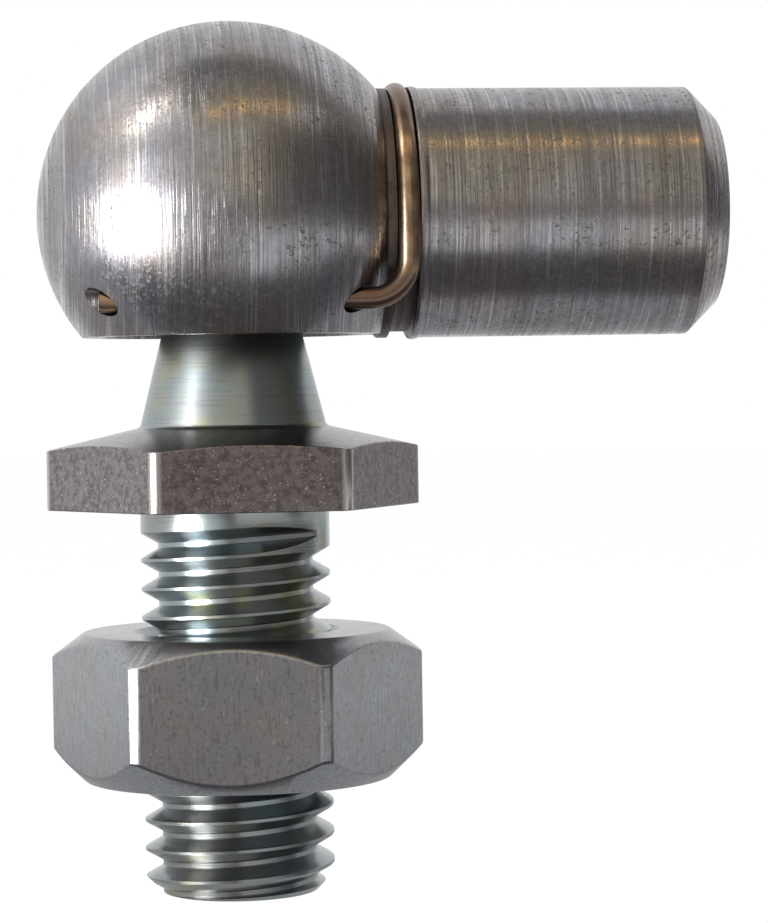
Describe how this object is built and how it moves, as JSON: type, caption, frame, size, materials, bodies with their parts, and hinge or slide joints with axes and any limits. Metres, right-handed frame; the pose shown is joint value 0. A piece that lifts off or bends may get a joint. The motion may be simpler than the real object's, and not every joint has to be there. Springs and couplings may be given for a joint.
{
  "type": "angle ball joint",
  "caption": "Angle ball joint: a threaded ball stud with hexagon flange and nut, held in a round socket with a tapped shank by a snap ring and a wire safety clip.",
  "frame": {"origin": "the centre of the ball, where the line of the rod and the line of the stud cross", "axes": "+X along the shank, out of the rod's threaded hole; +Z from the stud up through the ball; the stud's threaded end points to -Z"},
  "size_m": [0.0354, 0.02, 0.0452],
  "materials": {
    "socket_steel": "turned steel with a dull clear zinc plating",
    "ring_steel": "drawn spring wire, lightly greased",
    "clip_steel": "smooth spring wire, bronze-toned",
    "stud_steel": "bright bluish zinc plating",
    "nut_steel": "bright zinc plating, finely scratched"
  },
  "bodies": {
    "socket": {"ball_socket": "socket_steel", "safety_clip": "clip_steel"},
    "ring": {"snap_ring": "ring_steel"},
    "stud": {"ball_stud": "stud_steel"},
    "nut": {"hex_nut": "nut_steel"}
  },
  "joints": [
    {"name": "ring_swivel", "type": "hinge", "parent": "socket", "child": "ring", "pos_m": [0, 0, 0], "axis": [0, 0, 1], "continuous": true},
    {"name": "stud_tilt", "type": "hinge", "parent": "ring", "child": "stud", "pos_m": [0, 0, 0], "axis": [0, 1, 0], "range_deg": [-18, 18]},
    {"name": "nut_travel", "type": "slide", "parent": "stud", "child": "nut", "axis": [0, 0, 1], "range_m": [-0.0045, 0.0045]}
  ]
}
